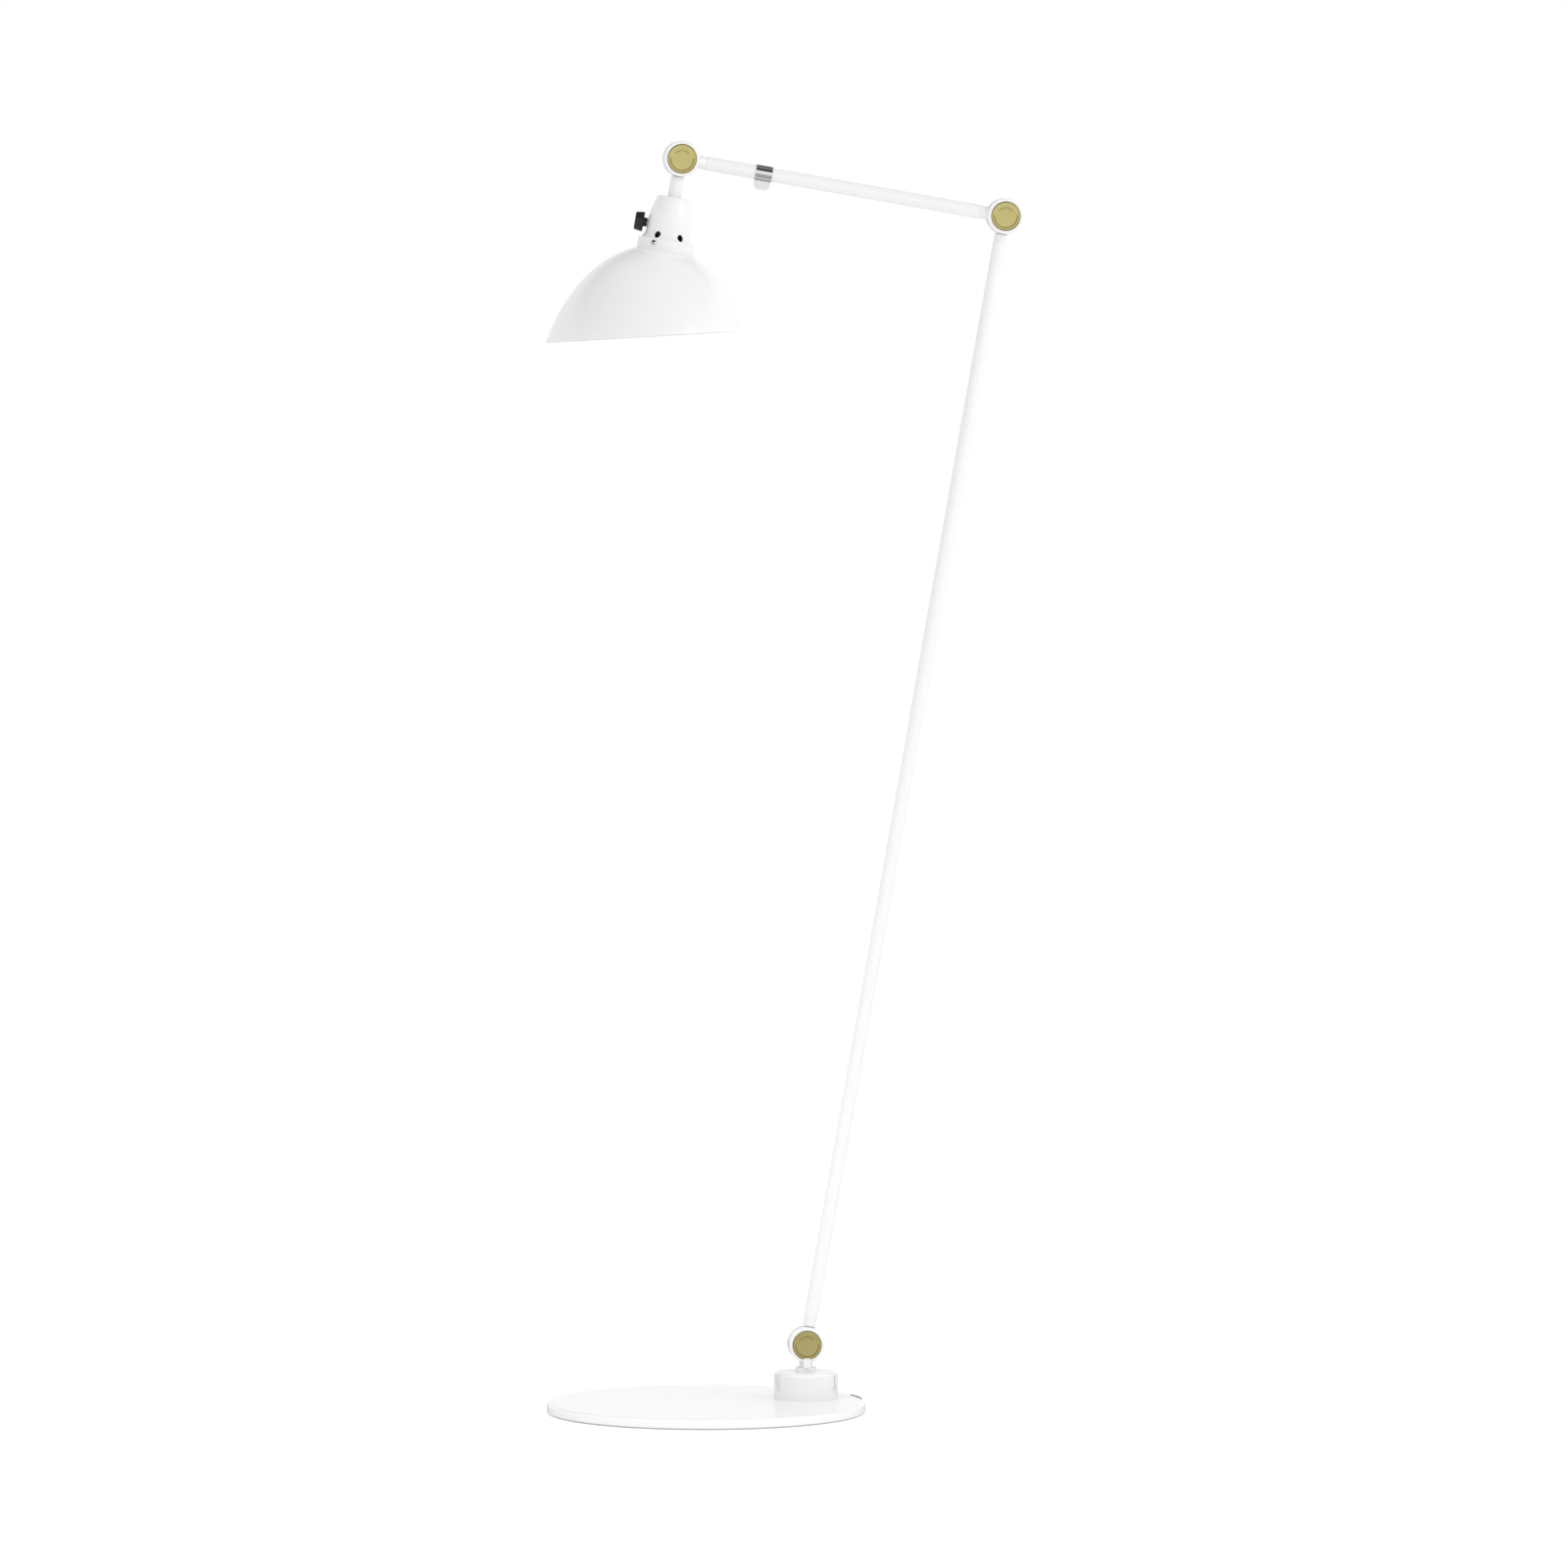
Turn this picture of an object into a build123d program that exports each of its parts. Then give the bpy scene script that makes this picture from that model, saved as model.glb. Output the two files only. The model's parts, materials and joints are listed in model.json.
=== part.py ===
from build123d import *
from math import atan2, cos, degrees, radians, sin, sqrt
import os

# An adjustable arm floor lamp in millimetres. +Z is up and the origin is the
# centre of the base's underside. Both arms move in the plane y = hub y, the
# three arm joints turn about Y, and their brass caps face -Y.

# ---- clearances -------------------------------------------------------------
RUNNING = 0.05          # radial gap of a shaft that turns in a bore
SNUG = 0.03             # radial gap of a fixed spigot, screw or nut
FACE_GAP = 0.05         # gap between flat faces that slide on each other
LOOSE = 0.3             # gap round pieces that only pass by
BEYOND = 1.0            # how far a cut runs past the face it opens

# ---- base -------------------------------------------------------------------
BASE_DIAMETER = 278.0
PLATE_THICKNESS = 8.0
PAD_THICKNESS = 1.0
PAD_INSET = 4.0
RIM_ROUND = 2.6
RIM_ROUND_BELOW = 1.0
HUB_OFFSET = 91.5       # centre of the base to centre of the hub
CABLE_AZIMUTH = 12.5    # the line from the base's centre through hub and gland
LEAD_HOLE_RADIUS = 8.0
GROOVE_WIDTH = 9.0
GROOVE_DEPTH = 5.0
GLAND_WIDTH = 30.0
GLAND_DEPTH = 2.2
GLAND_PROUD = 0.3
GLAND_ROUND = 0.5
CORD_HOLE_RADIUS = 3.0
CORD_HOLE_FLOOR = 0.3   # wall below the cord's hole
LEAD_BEND = 4.8
LEAD_INTO_HUB = 6.0     # how far the base's lead rises above the plate

# ---- hub --------------------------------------------------------------------
HUB_DIAMETER = 56.0
HUB_HEIGHT = 23.5
HUB_WALL = 4.0
HUB_TOP = 5.0
HUB_ROUND = 2.6
SLOT_COUNT = 3          # upright slots sunk in the wall, open at the top
SLOT_WIDTH = 8.0
SLOT_DEPTH = 2.0
SLOT_SILL = 8.0         # wall left standing below each slot
SLOT_ROUND = 1.6
SLOT_AZIMUTH = 86.0
POST_RADIUS = 4.5
POST_SINK = 0.5         # how far the screw posts run into the wall and top
HUB_SCREW_RADIUS = 2.0
HUB_SCREW_GRIP = 9.0
HUB_SCREW_HEAD = 4.0
HUB_SCREW_CONE = 2.0

# ---- swivel in the hub ------------------------------------------------------
STEM_RADIUS = 5.0
BUSH_RADIUS = 8.0
BUSH_FLANGE_RADIUS = 9.2
BUSH_FLANGE = 3.8
BUSH_BELOW = 0.8
STOP_WASHER_RADIUS = 10.5
STOP_WASHER = 1.5
STOP_LUG_WIDTH = 4.0
STOP_LUG_REACH = 15.0
STOP_PIN_RADIUS = 1.5
STOP_PIN_LENGTH = 6.0
SPRING_SHEET = 0.8
SPRING_RISE = 0.5
SWIVEL_SPRING_RADIUS = 9.5
SWIVEL_NUT_FLATS = 16.0
SWIVEL_NUT = 4.5
THREAD_END = 1.0        # thread left proud of a nut

# ---- arm joints -------------------------------------------------------------
JOINT_ABOVE_HUB = 24.0
RING_RADIUS = 15.6
JOINT_THICKNESS = 22.0
RING_ROUND = 1.2
EYE_THICKNESS = 6.0
EYE_INSET = 0.5
SWING_CLEARANCE = 0.4
FRICTION_DISC = 0.5
FRICTION_DISC_RADIUS = 14.5
PIVOT_RADIUS = 4.0
CAP_RADIUS = 12.85
CAP_THICKNESS = 2.0
CAP_PROUD = 0.25
CAP_GROOVE_RADIUS = 10.4
CAP_GROOVE_WIDTH = 0.6
CAP_GROOVE_DEPTH = 0.35
CAP_BEVEL = 0.5
HEAD_POCKET_DEPTH = 4.0
BOLT_HEAD_RADIUS = 6.5
BOLT_HEAD = 2.6
BOLT_SOCKET_FLATS = 5.0
BOLT_SOCKET_DEPTH = 1.6
NUT_FLATS = 13.0
NUT = 2.4
PIVOT_SPRING_RADIUS = 7.0
STUB_RADIUS = 5.6
STUB_LENGTH = 7.0       # stub between the ring and the tube
TAPER_ROOT = 10.0
TAPER_INSET = 0.8
SPIGOT_LENGTH = 25.0
RIB_WIDTH = 6.5         # rib up the front of the swivel's fork
RIB_PROUD = 1.6
RIB_LAP = 1.2           # how far the rib's lip laps over the cap
RIB_ROUND = 0.6

# ---- arms -------------------------------------------------------------------
LOWER_ARM = 1000.0      # joint centre to joint centre
UPPER_ARM = 287.0
TUBE_RADIUS = 6.0
TUBE_WALL = 1.5
LEAD_RADIUS = 1.9
LEAD_BORE = 2.2
GRUB_RADIUS = 1.5
GRUB_LENGTH = 2.6
GRUB_FROM_END = 10.0
GRUB_RECESS = 0.1       # how far a grub screw sits below the tube's surface
LEAD_ENTRY = 2.3        # solid stub between a joint's ring and the lead's bore
LEAD_START = 3.5        # the same for the lead itself
CLIP_FROM_HEAD = 73.0   # head joint to the middle of the clip
CLIP_WIDTH = 14.3
CLIP_SHEET = 0.8
CLIP_TONGUE = 8.5       # how far the tongue hangs below the tube
CLIP_ROUND = 5.0

# ---- pose at rest, degrees --------------------------------------------------
LEAN = 10.0             # lower arm off the vertical, towards +X
ELBOW_ANGLE = 90.0      # between the lower and the upper arm
HEAD_ANGLE = 90.0       # between the upper arm and the neck
HEAD_TURN = 6.0         # head about its own neck

# ---- head, along the neck's axis from the head joint ------------------------
NECK_RADIUS = 6.0
NECK_STEP = 3.0         # neck that stays at stub size below the ring
NIPPLE_RADIUS = 5.0
COVER_TOP_AT = 34.0
COVER_TOP = 2.5
COVER_WALL = 1.5
COVER_TOP_RADIUS = 14.1
COVER_ROUND = 1.5
COVER_SHOULDER_AT = 57.5
COVER_RADIUS = 19.3
COVER_BULGE = 0.9       # how far the cone's side bows outwards
COVER_FLARE_AT = 64.7
FLARE_BOW = 0.6
SKIRT_AT = 72.0
SKIRT_RADIUS = 22.9
SKIRT_LENGTH = 7.0
VENT_COUNT = 6
VENT_AT = 68.4
VENT_RADIUS = 3.0
VENT_AZIMUTH = -5.0     # the first vent's turn from the knob
NECK_WASHER_RADIUS = 8.5
NECK_WASHER = 1.0
NECK_SPRING_RADIUS = 8.0
NECK_NUT_FLATS = 14.0
NECK_NUT = 3.5

COLLAR_RADIUS = 24.8
COLLAR_LIP_RADIUS = 18.5
COLLAR_SCREW_COUNT = 2
COLLAR_SCREW_AT = 76.0
COLLAR_SCREW_AZIMUTH = VENT_AZIMUTH + 120
COLLAR_SCREW_RADIUS = 1.5
COLLAR_SCREW_HEAD = 2.7
COLLAR_SCREW_DOME = 2.0
SCREW_END = 1.0         # how far the collar screws reach past the skirt

KNOB_AT = 59.4
KNOB_STEM_RADIUS = 3.9
KNOB_START = 22.6
KNOB_THICKNESS = 7.6
KNOB_INNER_RADIUS = 8.6
KNOB_OUTER_RADIUS = 7.6
KNOB_ROUND = 0.6
SPINDLE_RADIUS = 3.0
SPINDLE_IN_KNOB = 6.0
SPINDLE_IN_SWITCH = 8.0

PLATE_AT = 48.0
HOLDER_PLATE = 1.4
HOLDER_PLATE_HOLE = 4.0
SWITCH_BODY_RADIUS = 14.0
SWITCH_BODY_END = 66.0
HOLDER_RADIUS = 15.8
HOLDER_END = 90.0
HOLDER_FLOOR = 3.0
HOLDER_WALL = 1.9
SHELL_SHEET = 0.5
SHELL_SHORT = 2.0       # how far the shell stops inside the holder's mouth
CONTACT_RADIUS = 4.0
CONTACT_SHEET = 1.2

# ---- shade: half an ellipsoid on the neck's axis, its mouth cut oblique -----
SHADE_RADIUS = 90.8
SHADE_HEIGHT = 131.0
SHADE_APEX_AT = 76.9
SHADE_SHEET = 1.0
SHADE_HOLE_RADIUS = 16.6
MOUTH_AT = 156.6        # where the mouth's plane crosses the axis
MOUTH_SLANT = 13.5      # the mouth's plane off square, deeper on the knob's side
SHADE_RING_RADIUS = 21.0
SHADE_RING = 6.0

# ---- bulb -------------------------------------------------------------------
BULB_RADIUS = 22.5
BULB_LENGTH = 72.0
BULB_CAP_PLAY = 0.4     # between the bulb's cap and the lampholder's shell
BULB_CAP_LENGTH = 24.0
BULB_CAP_SHEET = 0.7
BULB_TIP = 3.0
BULB_NECK_INSET = 1.5    # neck of the glass inside the cap's radius
GLASS_WALL = 0.8

# ---- sizes that follow from the ones above ----------------------------------
base_radius = BASE_DIAMETER / 2
plate_top = PAD_THICKNESS + PLATE_THICKNESS
hub_radius = HUB_DIAMETER / 2
hub_top_at = plate_top + HUB_HEIGHT
hub_bore = hub_radius - HUB_WALL
post_circle = hub_bore - POST_RADIUS + POST_SINK
post_top = hub_top_at - HUB_TOP + POST_SINK
pin_top = hub_top_at - HUB_TOP / 2
stop_circle = (STOP_WASHER_RADIUS + STOP_LUG_REACH) / 2
eye_half = EYE_THICKNESS / 2
eye_radius = RING_RADIUS - EYE_INSET
gap_half = eye_half + FACE_GAP + FRICTION_DISC
joint_half = JOINT_THICKNESS / 2
cap_seat = joint_half + CAP_PROUD - CAP_THICKNESS
pocket_floor = cap_seat - HEAD_POCKET_DEPTH
swing_radius = RING_RADIUS + SWING_CLEARANCE
stub_end = RING_RADIUS + STUB_LENGTH
lead_bore_start = RING_RADIUS + LEAD_ENTRY
tube_bore = TUBE_RADIUS - TUBE_WALL
spigot_radius = tube_bore - SNUG
bush_flange_top = hub_top_at + BUSH_FLANGE
joint_a_height = hub_top_at + JOINT_ABOVE_HUB
swivel_shoulder = JOINT_ABOVE_HUB - BUSH_FLANGE - 2 * FACE_GAP
shade_centre = SHADE_APEX_AT + SHADE_HEIGHT
shell_start = SWITCH_BODY_END + HOLDER_FLOOR
shell_radius = HOLDER_RADIUS - HOLDER_WALL
bulb_cap_radius = shell_radius - SHELL_SHEET - BULB_CAP_PLAY
bulb_neck_radius = bulb_cap_radius - BULB_NECK_INSET
bulb_start = shell_start + CONTACT_SHEET
BOTTOM = (Align.CENTER, Align.CENTER, Align.MIN)

# ---- places -----------------------------------------------------------------
cable_line = Rot(0, 0, CABLE_AZIMUTH)
hub_centre = Vector(HUB_OFFSET, 0, 0).rotate(Axis.Z, CABLE_AZIMUTH)
lower_turn = LEAN
upper_turn = lower_turn + 180 + ELBOW_ANGLE
neck_turn = upper_turn + 180 + HEAD_ANGLE


def heading(turn):
    """The unit vector that an arm turned from +Z about +Y points along."""
    return Vector(sin(radians(turn)), 0, cos(radians(turn)))


joint_a = hub_centre + Vector(0, 0, joint_a_height)
joint_b = joint_a + heading(lower_turn) * LOWER_ARM
joint_c = joint_b + heading(upper_turn) * UPPER_ARM

hub_frame = Pos(hub_centre)
turret_frame = Pos(joint_a) * Rot(0, 180, 0)
lower_frame = Pos(joint_a) * Rot(0, lower_turn, 0)
upper_frame = Pos(joint_b) * Rot(0, upper_turn, 0)
neck_frame = Pos(joint_c) * Rot(0, neck_turn, 0)
head_frame = neck_frame * Rot(0, 0, HEAD_TURN)
knob_frame = head_frame * Pos(0, 0, KNOB_AT) * Rot(0, 90, 0)


# ---- shapes used again and again --------------------------------------------
def rod(radius, start, end, bore=0.0):
    """A round bar along Z, bored through where a bore is given."""
    bar = Cylinder(radius, end - start, align=BOTTOM)
    if bore:
        bar -= Cylinder(bore, end - start, align=BOTTOM)
    return Pos(0, 0, start) * bar


def rod_y(radius, start, end, bore=0.0):
    """The same bar along Y."""
    return Rot(-90, 0, 0) * rod(radius, start, end, bore)


def spun(*edges):
    """A turned piece: edges that close an outline of (radius, height), spun about Z."""
    return revolve(Plane.XZ * make_face(list(edges)), Axis.Z)


def turned(*points):
    """A turned piece with straight sides."""
    return spun(*Polyline(*points, close=True).edges())


def hexagon(flats, start, end, bore):
    """A hexagonal nut along Z."""
    nut = extrude(RegularPolygon(flats / 2, 6, major_radius=False), end - start)
    nut -= Cylinder(bore, end - start, align=BOTTOM)
    return Pos(0, 0, start) * nut


def disc_spring(outer, inner, start, rise, sheet):
    """A coned spring washer along Z."""
    top = start + sheet
    return turned((inner, start + rise), (outer, start), (outer, top), (inner, top + rise))


def round_ring(shape, size):
    """Round every full circle that bounds the shape."""
    return fillet(shape.edges().filter_by(GeomType.CIRCLE), size)


# ---- base -------------------------------------------------------------------
def gland_notch(clearance):
    """The notch in the rim that holds the cord gland."""
    depth = GLAND_DEPTH + clearance
    tall = 2 * (plate_top + GLAND_PROUD + BEYOND)
    outward = (Align.MIN, Align.CENTER, Align.CENTER)
    notch = Box(depth + BEYOND, GLAND_WIDTH + 2 * clearance, tall, align=outward)
    return cable_line * Pos(base_radius - depth, 0, 0) * notch


def screw_places():
    """Where the hub's screws stand, half way between its slots."""
    first = SLOT_AZIMUTH + 180 / SLOT_COUNT
    for number in range(SLOT_COUNT):
        yield hub_frame * Rot(0, 0, first + number * 360 / SLOT_COUNT) * Pos(post_circle, 0, 0)


def screw_cone(clearance):
    """The countersunk head of a hub screw, from the plate's underside up."""
    reach = HUB_SCREW_HEAD + clearance
    shaft = HUB_SCREW_RADIUS + clearance
    low = PAD_THICKNESS
    return turned((0, low), (reach, low), (shaft, low + HUB_SCREW_CONE), (0, low + HUB_SCREW_CONE))


def base_plate():
    plate = rod(base_radius, PAD_THICKNESS, plate_top)
    plate = fillet(plate.edges().group_by(Axis.Z)[-1], RIM_ROUND)
    plate = fillet(plate.edges().group_by(Axis.Z)[0], RIM_ROUND_BELOW)
    plate -= hub_frame * rod(LEAD_HOLE_RADIUS, 0, plate_top + BEYOND)
    groove_length = base_radius - GLAND_DEPTH - HUB_OFFSET
    groove = Box(groove_length, GROOVE_WIDTH, GROOVE_DEPTH, align=(Align.MIN, Align.CENTER, Align.MIN))
    plate -= cable_line * Pos(HUB_OFFSET, 0, PAD_THICKNESS) * groove
    plate -= gland_notch(SNUG)
    for place in screw_places():
        plate -= place * rod(HUB_SCREW_RADIUS + SNUG, 0, plate_top + BEYOND)
        plate -= place * screw_cone(SNUG)
    return plate


def base_pad():
    return rod(base_radius - PAD_INSET, 0, PAD_THICKNESS)


def cable_gland():
    block = rod(base_radius, PAD_THICKNESS, plate_top + GLAND_PROUD) & gland_notch(0)
    block = fillet(block.edges().group_by(Axis.Z)[-1], GLAND_ROUND)
    hole = rod(CORD_HOLE_RADIUS, 0, base_radius + BEYOND)
    height = PAD_THICKNESS + CORD_HOLE_FLOOR + CORD_HOLE_RADIUS
    return block - cable_line * Pos(0, 0, height) * Rot(0, 90, 0) * hole


def base_lead():
    """The lead in the plate's groove, from the gland to the foot of the stem."""
    height = PAD_THICKNESS + GROOVE_DEPTH / 2
    outer = base_radius - GLAND_DEPTH - LOOSE
    top = plate_top + LEAD_INTO_HUB
    corners = [(outer, 0, height), (HUB_OFFSET, 0, height), (HUB_OFFSET, 0, top)]
    route = FilletPolyline(*corners, radius=LEAD_BEND)
    lead = sweep(Plane((outer, 0, height), z_dir=(-1, 0, 0)) * Circle(LEAD_RADIUS), path=route)
    return cable_line * lead


def hub_cup():
    cup = rod(hub_radius, plate_top, hub_top_at)
    cup = fillet(cup.edges().group_by(Axis.Z)[-1], HUB_ROUND)
    cup -= rod(hub_bore, plate_top, hub_top_at - HUB_TOP)
    cup = hub_frame * cup
    for place in screw_places():
        cup += place * rod(POST_RADIUS, plate_top, post_top)
        cup -= place * rod(HUB_SCREW_RADIUS + SNUG, plate_top, plate_top + HUB_SCREW_GRIP + BEYOND)
    outward = (Align.MIN, Align.CENTER, Align.MIN)
    slot = Box(SLOT_DEPTH + BEYOND, SLOT_WIDTH, HUB_HEIGHT - SLOT_SILL + BEYOND, align=outward)
    slot = fillet(slot.edges().filter_by(Axis.X).group_by(Axis.Z)[0], SLOT_ROUND)
    for number in range(SLOT_COUNT):
        turn = Rot(0, 0, SLOT_AZIMUTH + number * 360 / SLOT_COUNT)
        cup -= hub_frame * turn * Pos(hub_radius - SLOT_DEPTH, 0, plate_top + SLOT_SILL) * slot
    cup -= hub_frame * rod(BUSH_RADIUS + SNUG, hub_top_at - HUB_TOP - BEYOND, hub_top_at + BEYOND)
    pin_hole = rod(STOP_PIN_RADIUS + SNUG, hub_top_at - HUB_TOP - BEYOND, pin_top)
    return cup - hub_frame * Pos(-stop_circle, 0, 0) * pin_hole


def hub_screws():
    shaft = rod(HUB_SCREW_RADIUS, PAD_THICKNESS, plate_top + HUB_SCREW_GRIP)
    return Compound(children=[place * (shaft + screw_cone(0)) for place in screw_places()])


def swivel_bush():
    bush = rod(BUSH_RADIUS, hub_top_at - HUB_TOP - BUSH_BELOW, bush_flange_top)
    bush += rod(BUSH_FLANGE_RADIUS, hub_top_at, bush_flange_top)
    bush -= rod(STEM_RADIUS + RUNNING, 0, bush_flange_top + BEYOND)
    return hub_frame * bush


def stop_pin():
    """The fixed stop that ends the swivel's turn."""
    pin = rod(STOP_PIN_RADIUS, pin_top - STOP_PIN_LENGTH, pin_top)
    return hub_frame * Pos(-stop_circle, 0, 0) * pin


# ---- arm joints: drawn with the pivot at the origin and the stub along +Z ---
def joint_fork(taper_end, end_radius):
    """Two cheeks on a tapered stub, with a seat for a cap in each outer face."""
    root = joint_half - TAPER_INSET
    foot = Pos(0, 0, TAPER_ROOT) * Ellipse(STUB_RADIUS, root)
    taper = loft([foot, Pos(0, 0, taper_end) * Circle(end_radius)])
    body = round_ring(rod_y(RING_RADIUS, -joint_half, joint_half), RING_ROUND) + taper
    body -= rod_y(swing_radius, -gap_half, gap_half)
    body -= rod_y(PIVOT_RADIUS + RUNNING, -joint_half, joint_half)
    pocket = max(BOLT_HEAD_RADIUS, PIVOT_SPRING_RADIUS, NUT_FLATS / sqrt(3)) + LOOSE
    for side in (-1, 1):
        low, high = sorted((side * cap_seat, side * (joint_half + BEYOND)))
        body -= rod_y(CAP_RADIUS + SNUG, low, high)
        low, high = sorted((side * pocket_floor, side * cap_seat))
        body -= rod_y(pocket, low, high)
    return body


def spigot():
    """The end of a stub that plugs into a tube."""
    return rod(spigot_radius, stub_end, stub_end + SPIGOT_LENGTH)


def grub_hole():
    """A grub screw's hole, from the back of a tube into its spigot."""
    hole = rod_y(GRUB_RADIUS + SNUG, TUBE_RADIUS - GRUB_LENGTH - SNUG, TUBE_RADIUS + BEYOND)
    return Pos(0, 0, stub_end + GRUB_FROM_END) * hole


def drilled(casting):
    """A casting with the lead's bore and the grub screw's hole."""
    casting -= rod(LEAD_BORE, lead_bore_start, stub_end + SPIGOT_LENGTH + BEYOND)
    return casting - grub_hole()


def arm_fork():
    return drilled(joint_fork(stub_end, STUB_RADIUS) + spigot())


def flat_eye():
    """A flat eye on a round stub that passes between the cheeks."""
    stub_start = swing_radius + SWING_CLEARANCE / 2
    blade = rod(STUB_RADIUS, 0, stub_start + BEYOND) & Box(RING_RADIUS, EYE_THICKNESS, 2 * stub_end)
    body = rod_y(eye_radius, -eye_half, eye_half) + blade + rod(STUB_RADIUS, stub_start, stub_end)
    return body - rod_y(PIVOT_RADIUS + RUNNING, -joint_half, joint_half)


def arm_eye():
    return drilled(flat_eye() + spigot())


def pivot_bolt():
    bolt = rod_y(PIVOT_RADIUS, -pocket_floor, cap_seat - 2 * FACE_GAP)
    bolt += rod_y(BOLT_HEAD_RADIUS, -pocket_floor - BOLT_HEAD, -pocket_floor)
    socket = extrude(RegularPolygon(BOLT_SOCKET_FLATS / 2, 6, major_radius=False), BOLT_SOCKET_DEPTH)
    return bolt - Pos(0, -pocket_floor - BOLT_HEAD, 0) * Rot(-90, 0, 0) * socket


def pivot_spring():
    spring = disc_spring(PIVOT_SPRING_RADIUS, PIVOT_RADIUS + LOOSE, pocket_floor, SPRING_RISE, SPRING_SHEET)
    return Rot(-90, 0, 0) * spring


def pivot_nut():
    start = pocket_floor + SPRING_RISE + SPRING_SHEET
    return Rot(-90, 0, 0) * hexagon(NUT_FLATS, start, start + NUT, PIVOT_RADIUS + SNUG)


def friction_discs():
    """The two linings between the eye and the cheeks."""
    low, high = eye_half + FACE_GAP, gap_half
    lining = rod_y(FRICTION_DISC_RADIUS, low, high, PIVOT_RADIUS + LOOSE)
    return Compound(children=[lining, mirror(lining, Plane.XZ)])


def cap_blank():
    """A flat cap with a bevelled edge, facing along +Z."""
    top = cap_seat + CAP_THICKNESS
    side = [(0, cap_seat), (CAP_RADIUS, cap_seat), (CAP_RADIUS, top - CAP_BEVEL)]
    return turned(*side, (CAP_RADIUS - CAP_BEVEL, top), (0, top))


def joint_cap():
    """The coin-shaped cap, with one turned groove in its face."""
    top = cap_seat + CAP_THICKNESS
    groove_bore = CAP_GROOVE_RADIUS - CAP_GROOVE_WIDTH
    groove = rod(CAP_GROOVE_RADIUS, top - CAP_GROOVE_DEPTH, top + BEYOND, groove_bore)
    return Rot(90, 0, 0) * (cap_blank() - groove)


def rear_cap():
    return Rot(-90, 0, 0) * cap_blank()


def joint_hardware(name, place):
    """Everything that clamps one joint, by node name."""
    pieces = {
        "pivot_bolt": pivot_bolt(),
        "disc_spring": pivot_spring(),
        "pivot_nut": pivot_nut(),
        "friction_discs": friction_discs(),
        "brass_cap": joint_cap(),
        "rear_cap": rear_cap(),
    }
    return {f"{name}_{kind}": place * piece for kind, piece in pieces.items()}


# ---- swivel -----------------------------------------------------------------
def stem_stack():
    """Where each piece on the stem starts, measured down from the base joint."""
    washer = JOINT_ABOVE_HUB + HUB_TOP + BUSH_BELOW + 2 * FACE_GAP
    spring = washer + STOP_WASHER
    nut = spring + SPRING_RISE + SPRING_SHEET
    return washer, spring, nut, nut + SWIVEL_NUT


def cap_rib():
    """A rib up the front of the swivel's fork, with a lip that laps over the cap's edge."""
    front = joint_half + RIB_PROUD
    start = CAP_RADIUS + SNUG
    inward = (Align.CENTER, Align.MIN, Align.MIN)
    rib = Box(RIB_WIDTH, front - gap_half - LOOSE, swivel_shoulder - start, align=inward)
    lip = Box(RIB_WIDTH, RIB_PROUD - CAP_PROUD - FACE_GAP, RIB_LAP + SNUG, align=inward)
    body = Pos(0, -front, start) * rib + Pos(0, -front, CAP_RADIUS - RIB_LAP) * lip
    return fillet(body.edges().filter_by(Axis.Z).group_by(Axis.Y)[0], RIB_ROUND)


def swivel_fork():
    end = stem_stack()[-1] + THREAD_END
    body = joint_fork(swivel_shoulder, NECK_RADIUS) + cap_rib()
    body += rod(STEM_RADIUS, swivel_shoulder, end)
    return body - rod(LEAD_BORE, lead_bore_start, end + BEYOND)


def stop_washer():
    """The washer under the bush; its lug meets the stop pin at each end of the swivel."""
    start = stem_stack()[0]
    lug = Box(STOP_LUG_REACH, STOP_LUG_WIDTH, STOP_WASHER, align=(Align.MAX, Align.CENTER, Align.MIN))
    washer = rod(STOP_WASHER_RADIUS, start, start + STOP_WASHER) + Pos(0, 0, start) * lug
    return washer - rod(STEM_RADIUS + SNUG, start - BEYOND, start + STOP_WASHER + BEYOND)


def swivel_spring():
    start = stem_stack()[1]
    return disc_spring(SWIVEL_SPRING_RADIUS, STEM_RADIUS + LOOSE, start, SPRING_RISE, SPRING_SHEET)


def swivel_nut():
    start = stem_stack()[2]
    return hexagon(SWIVEL_NUT_FLATS, start, start + SWIVEL_NUT, STEM_RADIUS + SNUG)


# ---- arms: drawn from the arm's first joint along +Z ------------------------
def arm_tube(length):
    tube = rod(TUBE_RADIUS, stub_end, length - stub_end, tube_bore)
    return tube - grub_hole() - far_end(length) * grub_hole()


def far_end(length):
    """The frame of an arm's second joint, its stub pointing back along the arm."""
    return Pos(0, 0, length) * Rot(0, 180, 0)


def arm_grub_screws(length):
    screw = rod_y(GRUB_RADIUS, TUBE_RADIUS - GRUB_LENGTH, TUBE_RADIUS - GRUB_RECESS)
    place = Pos(0, 0, stub_end + GRUB_FROM_END)
    return Compound(children=[place * screw, far_end(length) * place * screw])


def arm_lead(length):
    start = RING_RADIUS + LEAD_START
    return rod(LEAD_RADIUS, start, length - start)


def arm_clip():
    """A spring band round the tube whose ends meet in a tongue that hangs below."""
    inner = TUBE_RADIUS + SNUG
    band = rod(inner + CLIP_SHEET, -CLIP_WIDTH / 2, CLIP_WIDTH / 2)
    depth = TUBE_RADIUS + CLIP_TONGUE
    tongue = Box(depth, 2 * CLIP_SHEET, CLIP_WIDTH, align=(Align.MAX, Align.CENTER, Align.CENTER))
    tongue = fillet(tongue.edges().filter_by(Axis.Y).group_by(Axis.X)[0], CLIP_ROUND)
    clip = band + tongue - rod(inner, -CLIP_WIDTH, CLIP_WIDTH)
    return Pos(0, 0, UPPER_ARM - CLIP_FROM_HEAD) * clip


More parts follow.
